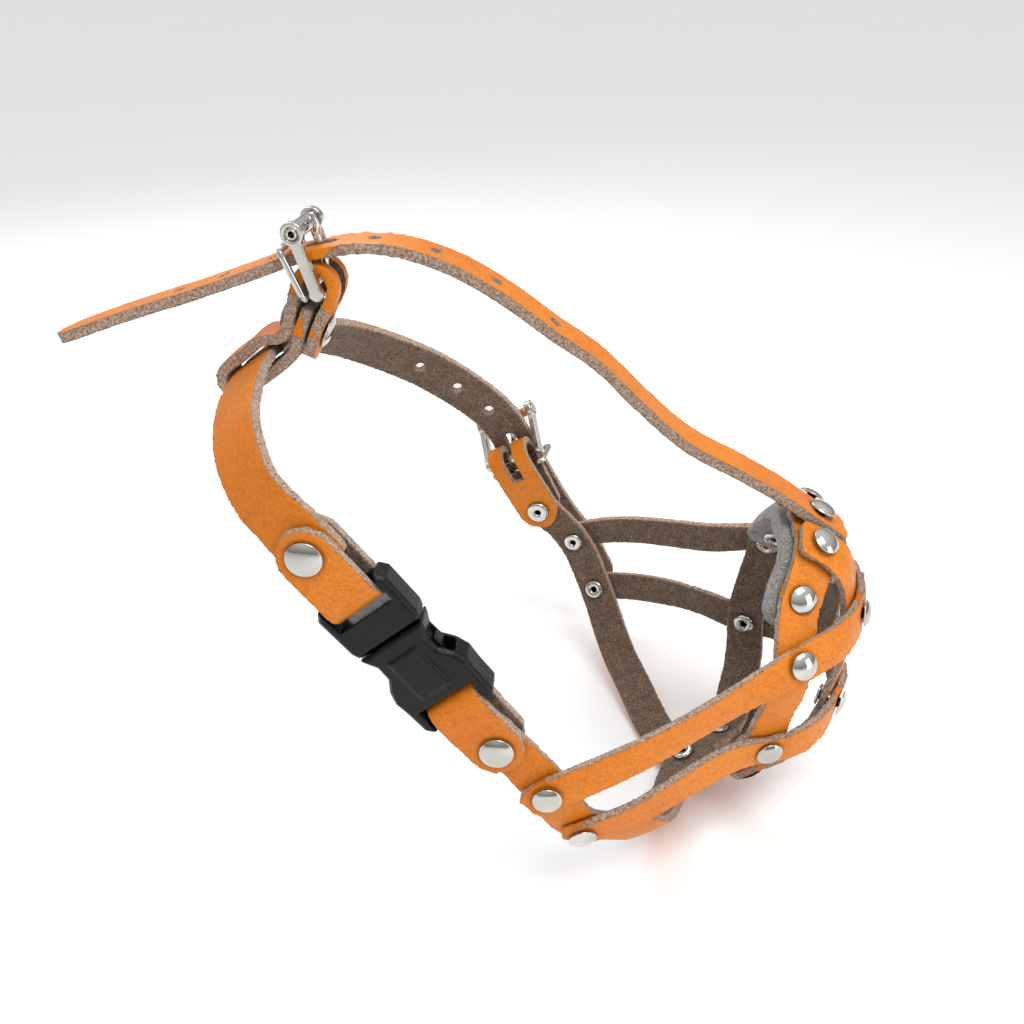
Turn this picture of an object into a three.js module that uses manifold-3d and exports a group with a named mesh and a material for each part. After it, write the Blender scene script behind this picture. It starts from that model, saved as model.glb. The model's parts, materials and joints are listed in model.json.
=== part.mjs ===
// Leather basket muzzle for a small dog: riveted strap basket, felt nose pad, neck strap with a
// side-release clip, and a forehead strap buckled to a tab that rides on the nape.
// Millimetres. X runs forward to the nose, Y to the dog's left, Z up. The origin is under the mouth
// opening, on the middle plane, level with the rear rivets of the lower side band.
import * as THREE from 'three';
import { mergeVertices } from 'three/addons/utils/BufferGeometryUtils.js';
import Module from 'manifold-3d';

const wasm = await Module();
wasm.setup();

// Overall sizes.
const basketLength = 86; // rear rivet of the upper band to the front of the basket
const basketWidth = 120; // across the mouth opening, inside
const basketHeight = 76; // chin strap to the top of the nose ring

// Leather and felt.
const leather = 3.2; // forehead strap, neck strap and crown tab
const strapLeather = 2.4; // the basket's straps and bands
const tabLeather = 2.7; // the three folded tabs
const felt = 4.6;
const gap = 0.4; // between touching pieces
const fineness = 0.02; // facets that differ by less are merged
const mainWidth = 12;
const bandWidth = 10; // the two side bands
const frontWidth = 10.7; // the two front straps
const neckWidth = 14.5;
const foreheadWidth = 12;
const crownTabWidth = 12;
const feltWidth = 14.5;
const punchRadius = 1.7;

// Rivets.
const capRadius = 3.8;
const flangeRadius = 3.2;
const shankRadius = 1.5;
const tabCapRadius = 4.35;
const tabFlangeRadius = 3.9;
const capHeight = 1.5;
const flangeThickness = 0.8;
const postRadius = 0.9;

// Side-release clip.
const tabReach = 14.2; // rivet to the bar the tab is folded round
const clipBar = 19.9; // middle of the clip to each bar
const clipWidth = 22.5;
const clipThickness = 8.4;
const barThickness = 2.6;

// Roller buckles.
const buckleReach = 20; // cheek rivet to the heel bar of its buckle
const frameLength = 15.6; // heel bar to roller
const heelRadius = 1.25;
const rollerRadius = 2.2;
const journalRadius = 1.45;
const eyeRadius = 3;
const sideThickness = 2.2;
const wireRadius = 1;
const tongueRadius = 1.05;
const strapSideRoom = 1.3; // each side of the strap in its frame

// Every place below is given for the sizes above, and stretches with them.
const V3 = THREE.Vector3;
const at = (x, y, z) => new V3((x * basketLength) / 86, (y * basketWidth) / 120, (z * basketHeight) / 76);
const mirror = (v) => new V3(v.x, -v.y, v.z);
const pitch = strapLeather + gap; // one layer of the basket to the next
const beside = (x, y, z) => new V3((x * basketLength) / 86, y, (z * basketHeight) / 76);
const smooth = (t) => {
  const u = Math.min(1, Math.max(0, t));
  return u * u * (3 - 2 * u);
};

// ---------------------------------------------------------------- solids

function solidOf(geometry) {
  const bare = geometry.clone();
  bare.deleteAttribute('normal');
  bare.deleteAttribute('uv');
  const merged = mergeVertices(bare, 1e-4);
  const tri = [];
  const index = merged.index.array;
  for (let i = 0; i < index.length; i += 3) {
    const [a, b, c] = [index[i], index[i + 1], index[i + 2]];
    if (a !== b && b !== c && a !== c) tri.push(a, b, c);
  }
  const mesh = new wasm.Mesh({
    numProp: 3,
    vertProperties: new Float32Array(merged.attributes.position.array),
    triVerts: new Uint32Array(tri),
  });
  mesh.merge();
  return new wasm.Manifold(mesh);
}

function geometryOf(solid) {
  const mesh = solid.simplify(fineness).getMesh();
  const geometry = new THREE.BufferGeometry();
  geometry.setAttribute('position', new THREE.BufferAttribute(new Float32Array(mesh.vertProperties), 3));
  geometry.setIndex(new THREE.BufferAttribute(new Uint32Array(mesh.triVerts), 1));
  geometry.computeVertexNormals();
  return geometry;
}

// Closed skin over rings of points. Each ring has the same count; ends are capped with strips.
function skin(rings, closed = false) {
  const m = rings[0].length;
  const n = rings.length;
  const position = [];
  rings.forEach((ring) => ring.forEach((p) => position.push(p.x, p.y, p.z)));
  const index = [];
  const steps = closed ? n : n - 1;
  for (let i = 0; i < steps; i += 1) {
    const k = (i + 1) % n;
    for (let j = 0; j < m; j += 1) {
      const l = (j + 1) % m;
      index.push(i * m + j, k * m + j, k * m + l);
      index.push(i * m + j, k * m + l, i * m + l);
    }
  }
  if (!closed) {
    for (let j = 0; j < m / 2 - 1; j += 1) {
      const [a, b, c, d] = [j, j + 1, m - 2 - j, m - 1 - j];
      index.push(a, b, d);
      if (b !== c) index.push(b, c, d);
      const e = (n - 1) * m;
      index.push(e + a, e + d, e + b);
      if (b !== c) index.push(e + b, e + d, e + c);
    }
  }
  let volume = 0;
  const p = (i) => new V3(position[3 * i], position[3 * i + 1], position[3 * i + 2]);
  for (let i = 0; i < index.length; i += 3) {
    volume += p(index[i]).dot(p(index[i + 1]).cross(p(index[i + 2])));
  }
  if (volume < 0) {
    for (let i = 0; i < index.length; i += 3) [index[i], index[i + 1]] = [index[i + 1], index[i]];
  }
  const geometry = new THREE.BufferGeometry();
  geometry.setAttribute('position', new THREE.BufferAttribute(new Float32Array(position), 3));
  geometry.setIndex(index);
  return solidOf(geometry);
}

// Moves a geometry or solid made about the origin to a place with axes u (x), v (y) and w (z).
function axes(origin, u, v, w) {
  return new THREE.Matrix4().makeBasis(u, v, w).setPosition(origin);
}

function placed(geometry, matrix) {
  return solidOf(geometry.clone().applyMatrix4(matrix));
}

function alongZ(origin, direction) {
  const turn = new THREE.Quaternion().setFromUnitVectors(new V3(0, 0, 1), direction.clone().normalize());
  return new THREE.Matrix4().compose(origin, turn, new V3(1, 1, 1));
}

function rod(from, to, radius, sides = 12) {
  const length = from.distanceTo(to);
  const geometry = new THREE.CylinderGeometry(radius, radius, length, sides).rotateX(Math.PI / 2);
  return placed(geometry, alongZ(from.clone().lerp(to, 0.5), to.clone().sub(from)));
}

// Round wire bent in one plane.
function wire(points, planeNormal, radius, closed, sides = 8) {
  const n = points.length;
  const rings = points.map((p, i) => {
    const before = closed ? points[(i + n - 1) % n] : points[Math.max(0, i - 1)];
    const after = closed ? points[(i + 1) % n] : points[Math.min(n - 1, i + 1)];
    const side = after.clone().sub(before).normalize().cross(planeNormal).normalize();
    const ring = [];
    for (let k = 0; k < sides; k += 1) {
      const a = ((k + 0.5) / sides) * 2 * Math.PI;
      ring.push(
        p.clone().addScaledVector(side, radius * Math.cos(a)).addScaledVector(planeNormal, radius * Math.sin(a)),
      );
    }
    return ring;
  });
  return skin(rings, closed);
}

// ---------------------------------------------------------------- the snout form
// All straps of the basket are bent over one smooth form. It is a star-shaped body about formCentre whose
// reach is known at the rivets and bends listed here, and runs smoothly between them.

const formCentre = at(38, 0, 26);
const upperRear = at(0, 60, 20);
const lowerRear = at(8.5, 55, 3.4);
const upperSide = at(32, 46.5, 32);
const lowerSide = at(33, 42.9, 10);
const upperNose = at(62.5, 29.5, 41.5);
const lowerNose = at(58.5, 27.5, 12);
const feltSide = at(63.5, 19.5, 54.5);
const noseTop = at(66.5, 0, 65.5);
const frontOut = (foreheadWidth + frontWidth) / 2 - 0.75; // front straps' middle, beside the forehead strap
const frontTop = beside(67.5, frontOut, 64.6);
const frontShoulder = at(74.5, 10, 58.5);
const upperFront = at(79, 9.6, 45);
const middleFront = at(79.6, 10.6, 31);
const lowerFront = at(76.5, 12, 16.5);
const upperMiddle = at(81, 0, 46);
const lowerMiddle = at(79.5, 0, 17);
const upperCorner = at(72.5, 21.5, 43.5);
const lowerCorner = at(70, 21.5, 13.5);
const frontUnder = at(70.5, 12.5, 1.2);
const cornerUnder = at(67.5, 21.5, 3.5);
const cheek = at(-12.2, 59, 34);
const cheekEnd = at(-17, 59, 40.5);
const rightCorner = at(24, -46.5, -5.8);
const leftLow = at(13.5, 48.5, -7);
const leftUnder = at(22, 30, -14);
const middleUnder = at(30, 8, -15.5);
const chinCross = at(39.5, -9.5, -12);
const leftChin = at(51, 1, -10.5);
const rightChin = at(55, -20, -1.2);
const rightTurn = at(49.5, -17, -6);
const rightLift = at(44.8, -13.6, -10);
const leftRingLow = at(57.5, 18.2, -3.5);
const rightRingLow = at(57.5, -24, 2.5);
const rightUnder = at(62, -15, -0.5);
const underFront = at(60, 7, -7.5);
const rearUpper = at(-8, 55, 52);
const sideAbove = at(32, 45, 44);
const sideBelow = at(36, 40.4, -2);

const formPairs = [
  upperRear, lowerRear, upperSide, lowerSide, upperNose, lowerNose, feltSide, frontTop, frontShoulder,
  upperFront, middleFront, lowerFront, upperCorner, lowerCorner, frontUnder, cornerUnder, cheek, cheekEnd, rearUpper,
  sideAbove, sideBelow,
];
const formSingles = [
  noseTop, upperMiddle, lowerMiddle, rightCorner, leftLow, leftUnder, middleUnder, chinCross, leftChin,
  rightChin, leftRingLow, rightRingLow, underFront, rightUnder, rightTurn,
];
const formPoints = [...formPairs, ...formPairs.map(mirror), ...formSingles];

function solveLinear(a, b) {
  const n = b.length;
  for (let i = 0; i < n; i += 1) {
    let best = i;
    for (let r = i + 1; r < n; r += 1) if (Math.abs(a[r][i]) > Math.abs(a[best][i])) best = r;
    [a[i], a[best]] = [a[best], a[i]];
    [b[i], b[best]] = [b[best], b[i]];
    for (let r = i + 1; r < n; r += 1) {
      const f = a[r][i] / a[i][i];
      for (let c = i; c < n; c += 1) a[r][c] -= f * a[i][c];
      b[r] -= f * b[i];
    }
  }
  const x = new Array(n).fill(0);
  for (let i = n - 1; i >= 0; i -= 1) {
    let s = b[i];
    for (let c = i + 1; c < n; c += 1) s -= a[i][c] * x[c];
    x[i] = s / a[i][i];
  }
  return x;
}

const formDirections = formPoints.map((p) => p.clone().sub(formCentre).normalize());
const formReach = formPoints.map((p) => p.distanceTo(formCentre));
const softness = 0.0003; // lets the form pass a fraction of a millimetre off a listed point
const formWeights = (() => {
  const n = formPoints.length;
  const rows = [];
  for (let i = 0; i < n; i += 1) {
    const d = formDirections[i];
    const row = formDirections.map((e) => d.distanceTo(e) ** 3);
    row[i] += softness;
    row.push(1, d.x, d.y, d.z);
    rows.push(row);
  }
  for (let k = 0; k < 4; k += 1) {
    const pick = (e) => [1, e.x, e.y, e.z][k];
    rows.push([...formDirections.map(pick), 0, 0, 0, 0]);
  }
  return solveLinear(rows, [...formReach, 0, 0, 0, 0]);
})();

function formAlong(direction) {
  const n = formPoints.length;
  let r = formWeights[n] + formWeights[n + 1] * direction.x;
  r += formWeights[n + 2] * direction.y + formWeights[n + 3] * direction.z;
  for (let i = 0; i < n; i += 1) r += formWeights[i] * direction.distanceTo(formDirections[i]) ** 3;
  return formCentre.clone().addScaledVector(direction, r);
}

function formAt(point) {
  const d = point.clone().sub(formCentre).normalize();
  const side = new V3(-d.y, d.x, 0.31).cross(d).normalize();
  const other = d.clone().cross(side).normalize();
  const step = 0.02;
  const along = (v, s) => formAlong(d.clone().addScaledVector(v, s).normalize());
  const du = along(side, step).sub(along(side, -step));
  const dv = along(other, step).sub(along(other, -step));
  const normal = du.cross(dv).normalize();
  if (normal.dot(d) < 0) normal.negate();
  return { p: formAlong(d), n: normal };
}

// ---------------------------------------------------------------- straps

// Stations at even distances along a strap, closer together where its ends are rounded off.
function stationsFor(length, step, startRound, endRound) {
  const list = [0, length];
  const bend = [0.0, 0.16, 0.45, 0.85];
  bend.forEach((f) => {
    const d = 1 - Math.cos((f * Math.PI) / 2);
    if (startRound > 0) list.push(startRound * d);
    if (endRound > 0) list.push(length - endRound * d);
  });
  const inner = length - startRound - endRound;
  const count = Math.max(2, Math.round(inner / step));
  for (let i = 0; i <= count; i += 1) list.push(startRound + (inner * i) / count);
  const sorted = [...new Set(list.map((v) => Math.round(v * 1000) / 1000))].sort((a, b) => a - b);
  return sorted.filter((v, i) => i === 0 || v - sorted[i - 1] > 0.15);
}

function widthAt(s, length, width, startRound, endRound) {
  let cut = 0;
  if (s < startRound) cut = Math.max(cut, startRound - Math.sqrt(startRound ** 2 - (startRound - s) ** 2));
  const e = length - s;
  if (e < endRound) cut = Math.max(cut, endRound - Math.sqrt(Math.max(0, endRound ** 2 - (endRound - e) ** 2)));
  return Math.max(1.2, width - 2 * cut);
}

// A value per control point, eased from one to the next by the distance run along the strap.
function easedAlong(marks, values) {
  return (s) => {
    if (s <= marks[0]) return values[0];
    for (let i = 1; i < marks.length; i += 1) {
      if (s <= marks[i]) {
        const t = (s - marks[i - 1]) / (marks[i] - marks[i - 1]);
        return values[i - 1] + (values[i] - values[i - 1]) * smooth(t);
      }
    }
    return values[values.length - 1];
  };
}

// Dense, even polyline through control points, with the distance of each control point along it.
function traced(points, onForm) {
  const curve = new THREE.CatmullRomCurve3(points, false, 'centripetal');
  const dense = [];
  const marks = [];
  const per = 24;
  for (let i = 0; i <= (points.length - 1) * per; i += 1) {
    const p = curve.getPoint(i / ((points.length - 1) * per));
    dense.push(onForm ? formAlong(p.clone().sub(formCentre).normalize()) : p);
  }
  const run = [0];
  for (let i = 1; i < dense.length; i += 1) run.push(run[i - 1] + dense[i].distanceTo(dense[i - 1]));
  points.forEach((_, i) => marks.push(run[i * per]));
  const length = run[run.length - 1];
  const pointAt = (s) => {
    const t = Math.min(length, Math.max(0, s));
    let i = 1;
    while (i < run.length - 1 && run[i] < t) i += 1;
    return dense[i - 1].clone().lerp(dense[i], (t - run[i - 1]) / (run[i] - run[i - 1]));
  };
  return { length, marks, pointAt };
}

// A strap bent over the form. Layers count outward from the form in whole leathers.
function formStrap({ points, layers, width, startRound = 2.2, endRound = 2.2, inner = 0, outer = strapLeather, step = 5.4, columns = 2 }) {
  const path = traced(points, true);
  const layerAt = easedAlong(path.marks, layers);
  const rings = stationsFor(path.length, step, startRound, endRound).map((s) => {
    const { p, n } = formAt(path.pointAt(s));
    const ahead = path.pointAt(s + 1);
    const behind = path.pointAt(s - 1);
    const tangent = ahead.sub(behind).normalize();
    const side = n.clone().cross(tangent).normalize();
    const lift = layerAt(s) * pitch;
    const wanted = widthAt(s, path.length, width, startRound, endRound);
    const edge = (x) => {
      const e = formAt(p.clone().addScaledVector(side, x));
      return e.p.addScaledVector(e.n, lift + (inner + outer) / 2);
    };
    const w = (wanted * wanted) / edge(-wanted / 2).distanceTo(edge(wanted / 2));
    const top = [];
    const under = [];
    for (let j = 0; j <= columns; j += 1) {
      const across = formAt(p.clone().addScaledVector(side, w * (j / columns - 0.5)));
      top.push(across.p.clone().addScaledVector(across.n, lift + outer));
      under.push(across.p.clone().addScaledVector(across.n, lift + inner));
    }
    return [...top, ...under.reverse()];
  });
  return { solid: skin(rings), path, layerAt };
}

// A free strap along frames { p, n } with flat cross-section; side is worked out from the run.
function freeStrap({ points, normals, width, startRound = 2.2, endRound = 2.2, thickness = leather, step = 5, shift }) {
  const path = traced(points, false);
  const normalAt = (s) => {
    let i = 1;
    while (i < path.marks.length - 1 && path.marks[i] < s) i += 1;
    const t = smooth((s - path.marks[i - 1]) / (path.marks[i] - path.marks[i - 1]));
    return normals[i - 1].clone().lerp(normals[i], t).normalize();
  };
  const frameAt = (s) => {
    const p = path.pointAt(s);
    const tangent = path.pointAt(s + 0.8).sub(path.pointAt(s - 0.8)).normalize();
    const rough = normalAt(s);
    const n = rough.addScaledVector(tangent, -rough.dot(tangent)).normalize();
    return { p, n, tangent, side: n.clone().cross(tangent).normalize() };
  };
  const columns = shift ? 4 : 1;
  const rings = stationsFor(path.length, step, startRound, endRound).map((s) => {
    const { p, n, side } = frameAt(s);
    const w = widthAt(s, path.length, width, startRound, endRound);
    const top = [];
    const under = [];
    for (let j = 0; j <= columns; j += 1) {
      const x = w * (j / columns - 0.5);
      const q = p.clone().addScaledVector(side, x);
      if (shift) q.add(shift(s, x, side, p));
      top.push(q.clone().addScaledVector(n, thickness / 2));
      under.push(q.clone().addScaledVector(n, -thickness / 2));
    }
    return [...top, ...under.reverse()];
  });
  return { solid: skin(rings), path, frameAt };
}

// ---------------------------------------------------------------- rivets

const rivets = [];

// A domed cap, shank and rolled inner flange, turned about the line from the inner to the outer face.
function rivet(name, point, normal, innerFace, outerFace, big = false) {
  const cap = big ? tabCapRadius : capRadius;
  const flange = big ? tabFlangeRadius : flangeRadius;
  const a = innerFace - gap;
  const b = outerFace + gap;
  const profile = [
    [0, a + 1], [postRadius, a + 1], [postRadius, a - flangeThickness], [flange * 0.8, a - flangeThickness],
    [flange, a - 0.3], [flange, a], [shankRadius, a], [shankRadius, b], [cap, b], [cap, b + 0.3],
    [cap * 0.72, b + capHeight * 0.75], [0, b + capHeight],
  ];
  const lathe = new THREE.LatheGeometry(profile.map(([r, z]) => new THREE.Vector2(r, z)), 12);
  const matrix = alongZ(point, normal);
  const body = placed(lathe.rotateX(Math.PI / 2), matrix);
  rivets.push({ name, body });
  const from = point.clone().addScaledVector(normal, innerFace - 3);
  const to = point.clone().addScaledVector(normal, outerFace + 3);
  return {
    hole: rod(from, to, shankRadius + gap * 0.8),
    pocket: rod(
      point.clone().addScaledVector(normal, innerFace - gap * 2 - flangeThickness),
      point.clone().addScaledVector(normal, innerFace + 0.1),
      flange + gap,
    ),
  };
}

function formRivet(name, point, firstLayer, lastLayer, under = 0, over = 0) {
  const { p, n } = formAt(point);
  return rivet(name, p, n, firstLayer * pitch - under, lastLayer * pitch + strapLeather + over);
}

const cut = (solid, ...tools) => tools.reduce((left, tool) => left.subtract(tool), solid);

// ---------------------------------------------------------------- basket

const rightCheekLine = new V3(-0.625, 0, 0.78).normalize();
const leftCheekLine = new V3(-0.47, 0, 0.883).normalize();
const rightCheek = mirror(cheek);
const rightEnd = rightCheek.clone().addScaledVector(rightCheekLine, 7);
const leftEnd = cheek.clone().addScaledVector(leftCheekLine, 7);

const mainPoints = [
  rightEnd, rightCheek, mirror(upperRear), mirror(lowerRear), rightCorner, chinCross, leftChin, leftRingLow,
  lowerNose, upperNose, feltSide, noseTop, mirror(feltSide), mirror(upperNose), mirror(lowerNose), rightRingLow,
  rightChin, rightTurn, rightLift, chinCross, middleUnder, leftUnder, leftLow, lowerRear, upperRear, cheek,
  leftEnd,
];
const mainLayers = mainPoints.map((p) => {
  if (p === rightLift || p === middleUnder) return 0.97;
  if (p === leftUnder) return 0.3;
  return 0;
});
mainLayers[mainPoints.lastIndexOf(chinCross)] = 1;
const main = formStrap({ points: mainPoints, layers: mainLayers, width: mainWidth });

const upperHalf = [at(-5.5, 62, 15.6), upperRear, upperSide, upperNose, upperCorner];
const lowerHalf = [at(4.5, 58, -0.2), lowerRear, lowerSide, lowerNose, lowerCorner];
const round = (half, middle) => [...half, middle, ...half.map(mirror).reverse()];
const upperPoints = round([...upperHalf, at(79, 11, 45.5)], upperMiddle);
const lowerPoints = round([...lowerHalf, at(76.5, 11.5, 16.5)], lowerMiddle);
const upper = formStrap({ points: upperPoints, layers: upperPoints.map(() => 1.02), width: bandWidth });
const lower = formStrap({ points: lowerPoints, layers: lowerPoints.map(() => 1.02), width: bandWidth });

const frontRun = [
  beside(61, frontOut - 0.2, 65), frontTop, beside(73.2, frontOut, 60.2), at(77.9, 9.8, 51.6), upperFront, middleFront, lowerFront,
  at(75, 12, 10.2), frontUnder,
];
const leftFrontPoints = [...frontRun, underFront, leftChin, at(47, -2.5, -11.5)];
const rightFrontPoints = [...frontRun.map(mirror), rightUnder, rightChin, at(50.6, -24.5, -5)];
const leftFront = formStrap({
  points: leftFrontPoints,
  layers: [1.04, 1.04, 1.04, 0.08, 0, 0, 0, 0, 0.6, 1.05, 1, 1],
  width: frontWidth,
});
const rightFront = formStrap({
  points: rightFrontPoints,
  layers: [1.04, 1.04, 1.04, 0.08, 0, 0, 0, 0, 0.5, 1, 1, 1],
  width: frontWidth,
});

const padPoints = [at(63.8, 24.6, 49.5), feltSide, noseTop, mirror(feltSide), at(63.8, -24.6, 49.5)];
const pad = formStrap({
  points: padPoints,
  layers: padPoints.map(() => 0),
  width: feltWidth,
  inner: -1.4 * gap - felt,
  outer: -1.4 * gap,
  startRound: 4,
  endRound: 4,
  columns: 3,
  step: 4,
});

// ---------------------------------------------------------------- forehead strap
// Riveted over the nose ring, it rises between the eyes to the crown buckle and ends in a free tail.

const overRing = strapLeather + gap + 0.15 + leather / 2; // forehead strap's middle, out from the form
const seat = (point) => {
  const { p, n } = formAt(point);
  return p.addScaledVector(n, overRing);
};
const foreheadStart = seat(at(73.6, 0, 61));
const foreheadRivet = seat(at(67.2, 0, 64.2));
const crownStrap = at(-67, 0, 138.6); // where the strap lies in the crown buckle
const foreheadPoints = [
  foreheadStart, foreheadRivet, at(60.5, 0, 75.6), at(46.5, 0, 83.4), at(32, 0, 90.8), at(18, 0, 102.6),
  at(7, 0, 113), at(-3.5, 0, 119.8), at(-17.5, 0, 129.6), at(-32, 0, 137.2), at(-49, 0, 141), crownStrap,
  at(-81, 0, 133.6), at(-98, 0, 127.6), at(-118.5, 0, 120.9), at(-140, 0, 113.1),
];
const foreheadNormals = foreheadPoints.map((p, i) => {
  const a = foreheadPoints[Math.max(0, i - 1)];
  const b = foreheadPoints[Math.min(foreheadPoints.length - 1, i + 1)];
  const run = b.clone().sub(a).normalize();
  return new V3(-run.z, 0, run.x).multiplyScalar(run.x < 0 ? -1 : 1);
});
const lapLength = 9; // the strap follows the curve of the nose ring this far
const foreheadShift = (s, x, side, p) => {
  const hold = 1 - smooth((s - lapLength) / 14);
  const middle = formAt(p);
  const across = formAt(middle.p.clone().addScaledVector(side, x));
  const curved = across.p.clone().addScaledVector(across.n, overRing);
  curved.sub(middle.p.clone().addScaledVector(middle.n, overRing)).addScaledVector(side, -x);
  return curved.multiplyScalar(hold);
};
const forehead = freeStrap({
  points: foreheadPoints,
  normals: foreheadNormals,
  width: foreheadWidth,
  endRound: foreheadWidth / 2,
  shift: foreheadShift,
});

// ---------------------------------------------------------------- folded tabs, clip and cheek buckle
// A tab frame sits at its rivet: L along the strap away from the rivet, W across it, N outward.

function tabFrame(origin, line, outward) {
  const L = line.clone().normalize();
  const N = outward.clone().addScaledVector(L, -outward.dot(L)).normalize();
  return { origin, L, N, W: N.clone().cross(L).normalize() };
}
const inFrame = (f, l, w, n) =>
  f.origin.clone().addScaledVector(f.L, l).addScaledVector(f.W, w).addScaledVector(f.N, n);
const frameMatrix = (f, l = 0, w = 0, n = 0) => axes(inFrame(f, l, w, n), f.L, f.W, f.N);

const tabRoom = 0.25; // extra room between a tab's legs and the strap they hold, which is bent a little
const legOut = (held) => (held + tabLeather) / 2 + gap + tabRoom; // a leg's middle, out from the strap's

// Folded strip: outer leg, turn round the bar, inner leg. Both legs end in a half round.
function foldedTab(f, reach, width, tail, held, heelHalf = legOut(held)) {
  const outline = [];
  const flat = legOut(held);
  const ease = (l) => flat + (heelHalf - flat) * smooth((l - 3) / Math.max(1, reach - 5));
  const put = (l, n, roundEnd) => outline.push({ l, n, roundEnd });
  const legStops = stationsFor(reach + tail, 5, width / 2, 0).map((s) => s - tail);
  legStops.forEach((l) => put(l, ease(l), l + tail));
  for (let i = 1; i < 8; i += 1) {
    const a = Math.PI / 2 - (i / 8) * Math.PI;
    put(reach + heelHalf * Math.cos(a), heelHalf * Math.sin(a), width);
  }
  [...legStops].reverse().forEach((l) => put(l, -ease(l), l + tail));
  const rings = outline.map(({ l, n, roundEnd }, i) => {
    const a = outline[Math.max(0, i - 1)];
    const b = outline[Math.min(outline.length - 1, i + 1)];
    const run = new THREE.Vector2(b.l - a.l, b.n - a.n).normalize();
    const up = new THREE.Vector2(-run.y, run.x).multiplyScalar(tabLeather / 2);
    const half = widthAt(Math.max(0, roundEnd), 1e6, width, width / 2, 0) / 2;
    return [
      inFrame(f, l + up.x, -half, n + up.y),
      inFrame(f, l + up.x, half, n + up.y),
      inFrame(f, l - up.x, half, n - up.y),
      inFrame(f, l - up.x, -half, n - up.y),
    ];
  });
  return skin(rings);
}

const midLeather = (point) => {
  const { p, n } = formAt(point);
  return { p: p.addScaledVector(n, strapLeather / 2), n };
};
const rightSeat = midLeather(rightCheek);
const leftSeat = midLeather(cheek);
const rightTab = tabFrame(rightSeat.p, rightCheekLine, rightSeat.n);
const leftTab = tabFrame(leftSeat.p, leftCheekLine, leftSeat.n);
const tabTail = 7; // rivet to the rounded ends of a tab
const foldHalf = 4.8; // half the spread of a tab folded round a heel bar and keeper
const barFold = legOut(leather); // half the spread of a tab folded round a clip bar
const neckRivetAt = inFrame(rightTab, 2 * (tabReach + clipBar), 0, 0);
const neckTab = tabFrame(neckRivetAt, rightTab.L.clone().negate(), rightTab.N);
const clip = tabFrame(inFrame(rightTab, tabReach + clipBar, 0, 0), rightTab.L, rightTab.N);

let rightCheekTab = foldedTab(rightTab, tabReach, neckWidth, tabTail, strapLeather, barFold);
let neckClipTab = foldedTab(neckTab, tabReach, neckWidth, tabTail, leather, barFold);
let leftCheekTab = foldedTab(leftTab, buckleReach, neckWidth, tabTail, strapLeather, foldHalf);

// ---- side-release clip, l from the cheek end to the neck end, flat in the l-w plane

function plate(points, thickness, bevel = 0) {
  const shape = new THREE.Shape(points.map(([x, y]) => new THREE.Vector2(x, y)));
  const geometry = new THREE.ExtrudeGeometry(shape, {
    depth: thickness - 2 * bevel,
    bevelEnabled: bevel > 0,
    bevelSize: bevel,
    bevelThickness: bevel,
    bevelOffset: -bevel,
    bevelSegments: 1,
  });
  return geometry.translate(0, 0, bevel - thickness / 2);
}
const clipPlate = (points, thickness, bevel) => solidOf(plate(points, thickness, bevel));
const mirrored = (side) => [...side, ...side.map(([x, y]) => [x, -y]).reverse()];
const clipBox = (l0, l1, w0, w1, n0, n1) => {
  const box = new THREE.BoxGeometry(l1 - l0, w1 - w0, n1 - n0);
  return solidOf(box.translate((l0 + l1) / 2, (w0 + w1) / 2, (n0 + n1) / 2));
};
const half = clipWidth / 2;
const barOuter = clipBar + barThickness / 2;
const barInner = clipBar - barThickness / 2 - 0.1;
const slotInner = clipBar - barFold - tabLeather / 2 - gap - 0.45;
const slotHalf = neckWidth / 2 + 0.9;
const barHalf = 1.15; // half of a bar's height
const mouth = 5.5; // where the two halves meet
const femaleSide = [
  [-barOuter, half - 2.2], [-barOuter + 1.8, half - 0.6], [-13, half - 0.4], [-9, half], [-5.5, half - 1.2],
  [-2.5, half - 3.4], [1.5, half - 3.6], [mouth - 1.5, half - 2.2], [mouth, half - 1.6],
];
const armRoot = mouth + gap;
let female = clipPlate(mirrored(femaleSide), clipThickness, 0.9);
const slotCut = (from, to) => clipBox(from, to, -slotHalf, slotHalf, -9, 9);
female = cut(
  female,
  slotCut(-barInner, -slotInner),
  clipBox(-30, -slotInner - 1, -slotHalf, slotHalf, barHalf, 9),
  clipBox(-30, -slotInner - 1, -slotHalf, slotHalf, -9, -barHalf),
  clipBox(-9.5, 12, -7.6, 7.6, -2.6, 2.6),
  clipBox(-6, 0.5, -half - 1, half + 1, -2.6, 2.6),
);
const panel = clipPlate([[-11.5, -4.6], [1.5, -4.6], [1.5, 4.6], [-11.5, 4.6]], clipThickness + 1.2, 0.5);
female = female.add(panel.subtract(clipBox(-12, 12, -7.6, 7.6, -clipThickness, 3.4)));

const maleSide = [
  [armRoot, half - 1.8], [armRoot + 2, half - 1], [barOuter - 2, half - 0.8], [barOuter, half - 2.4],
];
let maleBase = clipPlate(mirrored(maleSide), clipThickness - 0.6, 0.9);
maleBase = cut(
  maleBase,
  slotCut(slotInner, barInner),
  clipBox(slotInner + 1, 30, -slotHalf, slotHalf, barHalf, 9),
  clipBox(slotInner + 1, 30, -slotHalf, slotHalf, -9, -barHalf),
);
const guide = clipBox(-5, armRoot + 1, -1, 1, -1.7, 1.7);
maleBase = maleBase.add(guide);
const armPivot = 4.6; // where each arm bends, just inside the mouth
const armSide = [
  [armPivot, 4.2], [armPivot, 6.7], [-0.4, 6.9], [-0.4, 8.5], [-2.6, 8.6], [-5.2, 7.5], [-8.6, 5.6],
  [-8.6, 3.9], [-4.6, 4.6],
];
const armLeft = clipPlate(armSide, 4.2, 0);
const armRight = clipPlate(armSide.map(([x, y]) => [x, -y]).reverse(), 4.2, 0);
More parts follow.
